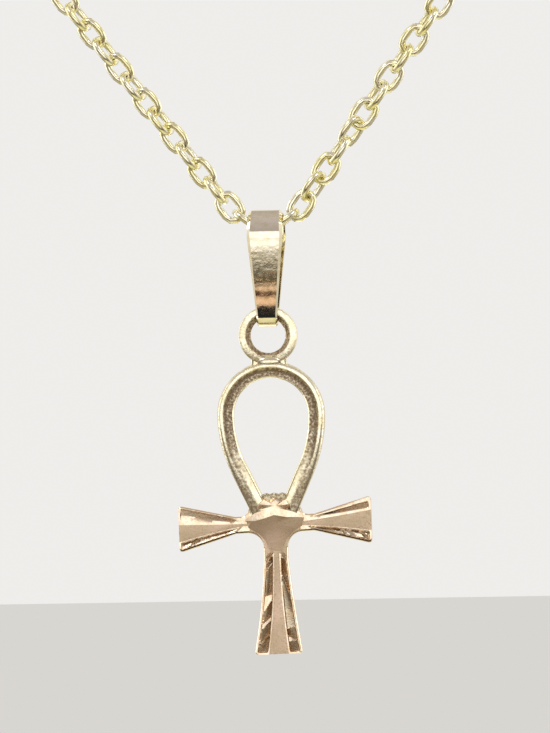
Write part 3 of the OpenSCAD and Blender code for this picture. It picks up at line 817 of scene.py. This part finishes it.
def buildStem(sizes):
    start = sizes["armWaist"] + sizes["crotch"]
    stations = [start] + endSteps(start, sizes["stemReach"], sizes["corner"], sizes["stemStep"])
    stem, mesh = addFront("stem", rowCount, len(stations))
    dress(stem)
    faceRows(mesh, 0)
    patina = mesh.verts.layers.float.new("patina")
    for vert in mesh.verts:
        along = stations[round((1 - vert.co.y) / 2 * (len(stations) - 1))]
        number = round((vert.co.x + 1) / 2 * (rowCount - 1))
        x, z, vert[patina] = limbSpot(number, along, stemLines(along, sizes), sizes,
                                      (sizes["leftFacets"], sizes["rightFacets"]),
                                      (start, sizes["stemFull"]), sizes["stemReach"])
        vert.co = Vector((x, -along, z))
    level = sizes["front"] - sizes["frostedWithin"]
    for face in mesh.faces:  # the strips begin unevenly, and what is level above them is frosted
        high = face.calc_center_median().y > -sizes["frostedTo"]
        if high and min(vert.co.z for vert in face.verts) > level:
            face.material_index = 1
    bmesh.update_edit_mesh(stem.data)
    bpy.ops.object.mode_set(mode="OBJECT")
    return stem


def buildLimbs(sizes):
    bar = buildCrossbar(sizes)
    bpy.ops.object.mode_set(mode="OBJECT")
    stem = buildStem(sizes)
    activate(bar, stem)
    bpy.ops.object.join()
    closeShell(bar)
    bpy.ops.object.mode_set(mode="EDIT")
    pickRim(bar)
    extrudeBy(0, 0, -sizes["front"])  # the sides, whose foot is then made level
    bpy.ops.transform.resize(value=(1, 1, 0), center_override=(0, 0, sizes["backEase"] - sizes["back"]))
    bpy.ops.mesh.edge_face_add()
    bpy.ops.mesh.inset(thickness=sizes["backEase"], depth=sizes["backEase"])
    closeShell(bar)
    for face in bar.data.polygons:
        spot = face.center
        if spot.z < sizes["backLevel"]:
            face.material_index = 0
        elif abs(spot.x) < sizes["hubHalf"] and spot.y > sizes["hubFoot"] and spot.z > sizes["hubLevel"]:
            face.material_index = 0 if spot.y > sizes["webFoot"] else 1
    return bar


# Boss on the crossing, with slopes that face up given the paler polished finish as a painted highlight, and
# the facets where the loop's legs end

bossSizes = {
    "foot": [(2.5, 0.4, 0.38), (1.5, 0.9, 0.58), (0, 1.3, 0.73), (-1.5, 0.9, 0.58), (-2.5, 0.3, 0.38),
             (-2.2, -0.28, 0.40), (-1.4, -0.78, 0.40), (-0.95, -1.3, 0.40), (-0.5, -2.3, 0.405),
             (0.5, -2.3, 0.405), (0.95, -1.3, 0.40), (1.4, -0.78, 0.40), (2.2, -0.28, 0.40)],
    "top": [(1.75, 0.48, 0.55), (0.95, 0.5, 0.67), (-0.03, 0.7, 0.78), (-0.8, 0.46, 0.69),
            (-1.55, 0.28, 0.62), (-1.15, -0.12, 0.57), (-0.8, -0.4, 0.56), (-0.55, -0.6, 0.54),
            (-0.25, -0.8, 0.52), (0.25, -0.8, 0.52), (0.6, -0.6, 0.54), (0.85, -0.4, 0.56),
            (1.2, -0.12, 0.57)],
    "middle": (0, 0.05, 0.66), "highlightFrom": 0.25, "highlightSlope": 0.02,  # height and slope above which facets get the paler polished finish, a painted highlight
    # star of cut facets where the loop's legs end
    "starFoot": [(1.62, 0.9, 0.3), (1.5, 1.5, 0.3), (1.05, 2.1, 0.3), (0.6, 1.95, 0.3), (0.12, 2.15, 0.3),
                 (-0.35, 1.9, 0.3), (-0.8, 2.15, 0.3), (-1.4, 1.7, 0.3), (-1.6, 0.95, 0.3), (0, 0.6, 0.3)],
    "starTop": [(1.3, 1.1, 0.6), (1.2, 1.5, 0.68), (0.9, 1.88, 0.67), (0.5, 1.68, 0.72), (0.1, 1.9, 0.62),
                (-0.35, 1.65, 0.73), (-0.78, 1.95, 0.68), (-1.2, 1.55, 0.69), (-1.3, 1.12, 0.6),
                (0, 0.95, 0.73)],
    "starMiddle": (0.1, 1.42, 0.7), "starEdge": 0.02, "starBend": 4,  # chamfer of what bends more, in degrees
}


def buildLump(name, foot, top, middle):  # closed, from its foot's outline, its top's and the top's middle
    bpy.ops.mesh.primitive_circle_add(vertices=len(foot), radius=1, fill_type="NGON")
    lump = startPiece(name)
    mesh = bmesh.from_edit_mesh(lump.data)
    for vert, spot in zip(mesh.verts, foot):
        vert.co = spot
    bmesh.update_edit_mesh(lump.data)
    bpy.ops.mesh.select_all(action="SELECT")
    extrudeBy(0, 0, 1)
    mesh = bmesh.from_edit_mesh(lump.data)
    for vert in mesh.verts:
        if vert.select:
            nearest = min(range(len(foot)), key=lambda k: (Vector(foot[k]) - vert.co).xy.length)
            vert.co = top[nearest]
    bmesh.update_edit_mesh(lump.data)
    bpy.ops.mesh.poke()
    mesh = bmesh.from_edit_mesh(lump.data)
    hub = [vert for vert in mesh.verts if vert.select and len(vert.link_faces) == len(top)]
    hub[0].co = middle
    bmesh.update_edit_mesh(lump.data)
    closeShell(lump)
    return lump


def buildBoss(sizes):
    boss = buildLump("boss", sizes["foot"], sizes["top"], sizes["middle"])
    dress(boss, 1)
    mesh = bmesh.new()
    mesh.from_mesh(boss.data)
    for face in mesh.faces:
        # high faces that point up get the bright finish: real polish, and its paler colour there is a painted
        # highlight
        if face.calc_center_median().y > sizes["highlightFrom"] and face.normal.y > sizes["highlightSlope"]:
            face.material_index = 2
    for edge in mesh.edges:  # a crisp ridge between the slope with the painted highlight and the frosted one
        edge.smooth = len({face.material_index for face in edge.link_faces}) == 1
    mesh.to_mesh(boss.data)
    mesh.free()
    return boss


def buildStar(sizes):
    star = buildLump("star", sizes["starFoot"], sizes["starTop"], sizes["starMiddle"])
    modify(star, "BEVEL", limit_method="ANGLE", angle_limit=math.radians(sizes["starBend"]),
           width=sizes["starEdge"], segments=1)
    dress(star, 2)
    return star


def buildAnkh():
    hub = [buildLimbs(limbSizes), buildBoss(bossSizes), buildStar(bossSizes)]
    crossing = joinPieces("crossing", hub, angle=20)
    crossing.location = (0, -ankhSizes["hubDrop"], 0)
    parts = [crossing, buildRing(ankhSizes), buildNeck(ankhSizes), buildLoop(ankhSizes)]
    ankh = joinPieces("castAnkh", parts, angle=24)
    tilt = Matrix.Rotation(math.radians(ankhSizes["tilt"]), 4, "Z")
    standUp(ankh, Matrix.Translation((0, -ankhSizes["ringDrop"], 0)) @ tilt)
    return ankh


finishPiece(buildAnkh(), "ankh", "ankh")
print("ankh cast")


# Floor, world and lights

stageLook = {  # the floor in metres, and the colours of the floor and of the pale room
    "height": -0.26, "size": 8, "floor": (0.80, 0.79, 0.77, 1), "rough": 0.9, "air": (0.86, 0.85, 0.83, 1)}


def buildStage(look):
    bpy.ops.mesh.primitive_plane_add(size=look["size"], location=(0, 0, look["height"]))
    floor = bpy.context.object
    floor.name = "floor"
    material = bpy.data.materials.new("paleFloor")
    material.use_nodes = True
    shader = material.node_tree.nodes["Principled BSDF"]
    shader.inputs["Base Color"].default_value = look["floor"]
    shader.inputs["Roughness"].default_value = look["rough"]
    shader.inputs["Specular IOR Level"].default_value = 0.0  # a matt floor shows no patch from the boxes
    floor.data.materials.append(material)
    floor.visible_glossy = False


roomTones = {  # height of the ray, then its colour: the room as the polished metal sees it
    "front": [(-1.0, (0.80, 0.76, 0.46)), (-0.76, (0.95, 0.90, 0.56)), (-0.72, (0.02, 0.02, 0.02)),
              (-0.412, (0.02, 0.02, 0.02)), (-0.405, (0.95, 0.64, 0.42)), (-0.370, (0.95, 0.64, 0.42)),
              (-0.366, (0.05, 0.02, 0.01)), (-0.344, (0.05, 0.02, 0.01)), (-0.340, (0.95, 0.66, 0.45)),
              (-0.318, (0.90, 0.64, 0.44)), (-0.310, (0.08, 0.07, 0.04)), (-0.23, (0.14, 0.13, 0.09)),
              (-0.20, (0.50, 0.47, 0.38)), (-0.12, (0.80, 0.77, 0.66)), (-0.09, (1.4, 1.38, 1.32)),
              (0.26, (1.4, 1.38, 1.32)), (0.32, (0.46, 0.41, 0.40)), (0.8, (0.50, 0.46, 0.44)),
              (1.0, (0.55, 0.50, 0.48))],
    "flank": [(-1.0, (0.50, 0.45, 0.32)), (-0.42, (0.48, 0.43, 0.33)), (-0.33, (0.10, 0.08, 0.06)),
              (0.0, (0.15, 0.13, 0.10)), (0.3, (0.30, 0.27, 0.22)), (0.6, (0.60, 0.58, 0.52)),
              (1.0, (0.60, 0.56, 0.50))],
    "sides": [(-1.0, (0.30, 0.27, 0.18)), (-0.5, (0.30, 0.27, 0.20)), (-0.2, (0.80, 0.76, 0.64)),
              (0.4, (0.95, 0.91, 0.80)), (1.0, (1.2, 1.16, 1.05))],
}
roomTurns = {  # where the tones pass into each other, by the ray's x squared, or by its y behind the part
    "flank": (0.1, 0.3), "sides": (0.55, 0.85), "behind": (0.3, 0.55), "behindSides": (0.008, 0.04),
    "back": (0.8, 0.95)}


def buildWorld(tones, turns, look):
    world = bpy.data.worlds.new("paleRoom")
    world.use_nodes = True
    bpy.context.scene.world = world
    tree = world.node_tree
    tree.nodes.clear()
    start = Wire(tree)
    way = start.add("ShaderNodeTexCoord")
    x, y, z = [start.add("ShaderNodeSeparateXYZ", {}, {0: way}, axis) for axis in range(3)]
    ramps = []
    for key in ("front", "flank", "sides"):
        stops = [((height + 1) / 2, (*colour, 1)) for height, colour in tones[key]]
        ramps.append(start.add("ShaderNodeValToRGB", {"stops": stops}, {0: z * 0.5 + 0.5}))
    front, flank, sides = ramps
    aside = x * x
    tone = aside.between(*turns["flank"]).mix(front, flank)
    behind = y.between(*turns["behind"]) * aside.between(*turns["behindSides"]) + y.between(*turns["back"])
    tone = (aside.between(*turns["sides"]) + behind).mix(tone, sides)
    room = start.add("ShaderNodeBackground", {}, {"Color": tone, "Strength": 1.0})
    pale = start.add("ShaderNodeBackground", {}, {"Color": look["air"], "Strength": 1.0})
    glossy = start.add("ShaderNodeLightPath", output=3)  # the metal mirrors the room, all else sees it pale
    both = start.add("ShaderNodeMixShader", {}, {0: glossy, 1: pale, 2: room})
    start.add("ShaderNodeOutputWorld", {}, {"Surface": both})


lightAim = (0, 0, -165)
lightBoxes = {  # place and size in millimetres, power in watts and colour
    "leftBox": ((-420, 160, -150), (160, 520), 0.4, (1, 1, 1)),
    "rightBox": ((420, 160, -150), (140, 520), 0.35, (1, 1, 1)),
    "upperLeftBox": ((-450, -450, 500), (260, 260), 0.9, (1, 1, 1)),
    "upperRightBox": ((450, -450, 500), (260, 260), 0.9, (1, 1, 1)),
    "lowBox": ((40, 300, -400), (260, 120), 0.2, (1, 0.95, 0.75)),
}


def addLight(name, place, size, power, colour):
    bpy.ops.object.light_add(type="AREA", location=[p * mm for p in place])
    light = bpy.context.object
    light.name = name
    light.data.shape = "RECTANGLE"
    light.data.size, light.data.size_y = size[0] * mm, size[1] * mm
    light.data.energy = power
    light.data.color = colour
    light.visible_camera = False
    light.visible_diffuse = False  # the boxes are for the metal, and leave no bright patch on the floor
    way = (Vector(lightAim) - Vector(place)).to_track_quat("-Z", "Y")
    light.rotation_euler = way.to_euler()


buildStage(stageLook)
buildWorld(roomTones, roomTurns, stageLook)
for name, box in lightBoxes.items():
    addLight(name, *box)
bpy.context.scene.view_settings.view_transform = "Standard"
print("stage set")
